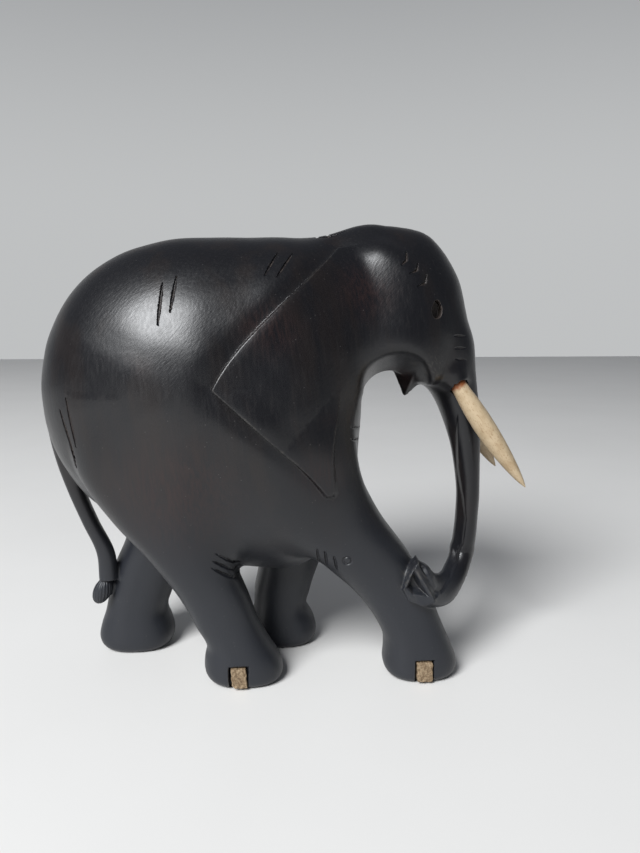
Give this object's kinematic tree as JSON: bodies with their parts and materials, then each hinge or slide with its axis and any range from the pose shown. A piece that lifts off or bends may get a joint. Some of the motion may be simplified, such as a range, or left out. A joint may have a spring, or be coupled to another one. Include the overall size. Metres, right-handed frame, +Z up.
{
  "type": "carved wooden elephant figurine",
  "caption": "Walking elephant carved from dark polished wood, with its trunk curled down to a front foot and separate pale tusks and toenails let in.",
  "frame": {"origin": "on the floor, at the middle of the elephant's length and width", "axes": "+X to the elephant's head, +Y to its left, +Z up"},
  "size_m": [0.1579, 0.0754, 0.1501],
  "materials": {
    "dark_wood": "polished",
    "tusk": "satin",
    "toenail": "matte"
  },
  "bodies": {
    "root": {"carved_body": "dark_wood", "tusk_right": "tusk", "tusk_left": "tusk", "toenail_front_right": "toenail", "toenail_front_left": "toenail", "toenail_rear_right": "toenail", "toenail_rear_left": "toenail"}
  },
  "joints": []
}
